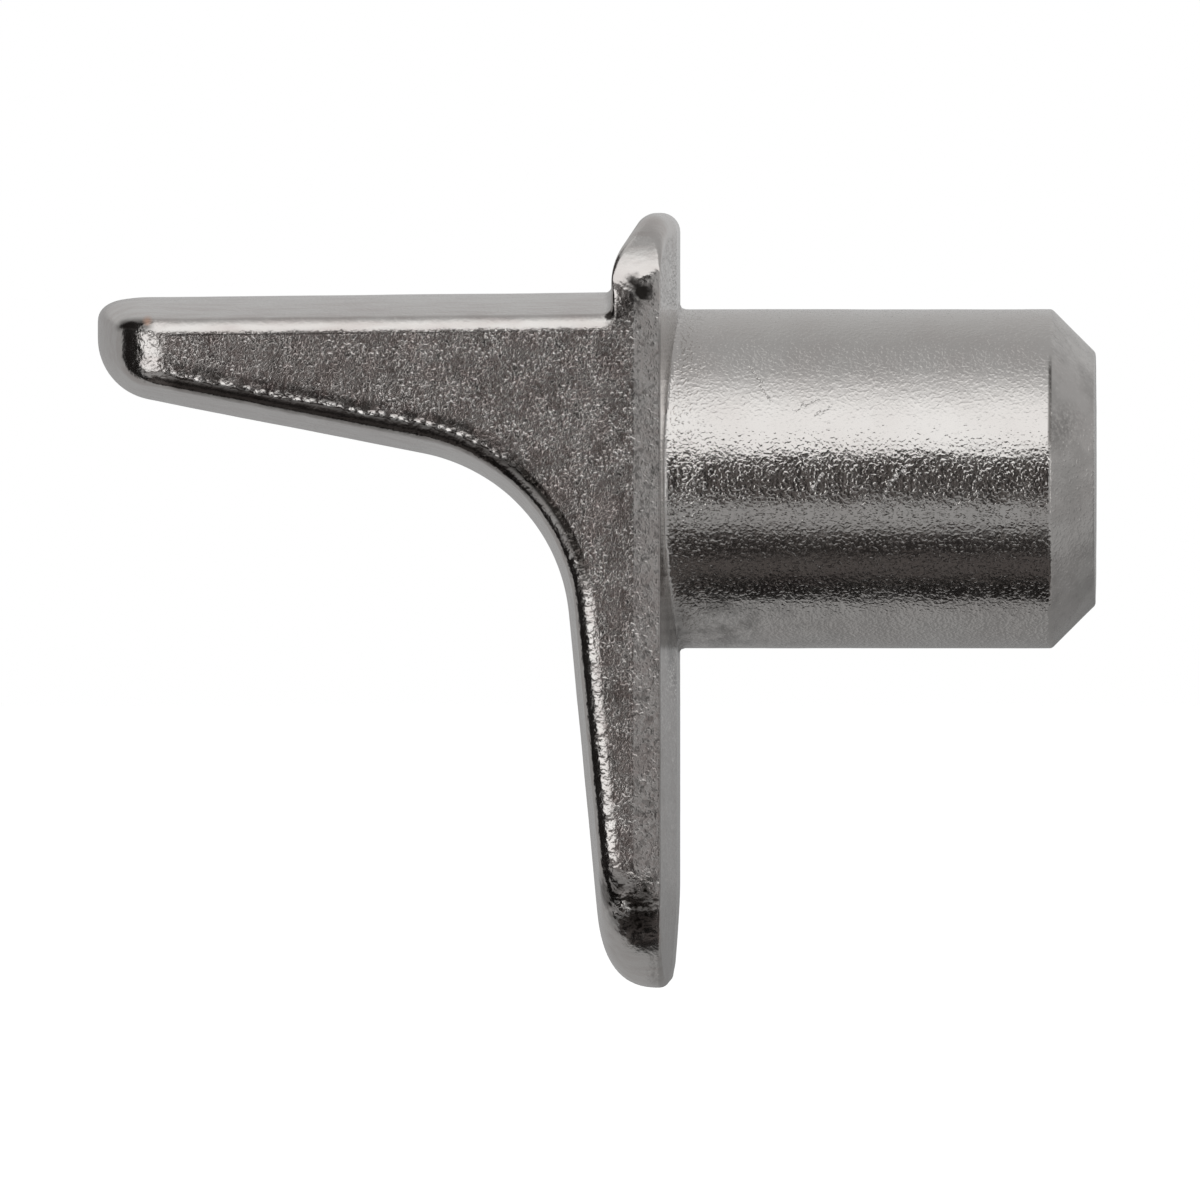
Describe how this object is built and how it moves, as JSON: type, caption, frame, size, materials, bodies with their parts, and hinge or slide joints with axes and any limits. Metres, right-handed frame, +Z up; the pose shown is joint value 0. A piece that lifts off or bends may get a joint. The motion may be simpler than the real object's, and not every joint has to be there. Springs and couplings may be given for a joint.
{
  "type": "shelf support pin",
  "caption": "Plated cast shelf support pin: a bevelled round peg carries a flat shelf arm, a bracing leg and a short upright lip.",
  "frame": {"origin": "on the peg's axis, in the plane of the seat face that lies against the cabinet side", "axes": "+X along the peg towards its free end, +Z up, Y across the width"},
  "size_m": [0.0146, 0.006, 0.0114],
  "materials": {
    "nickel_plate": "bright nickel plate over a slightly grainy die-cast surface"
  },
  "bodies": {
    "root": {"shelf_support": "nickel_plate"}
  },
  "joints": []
}
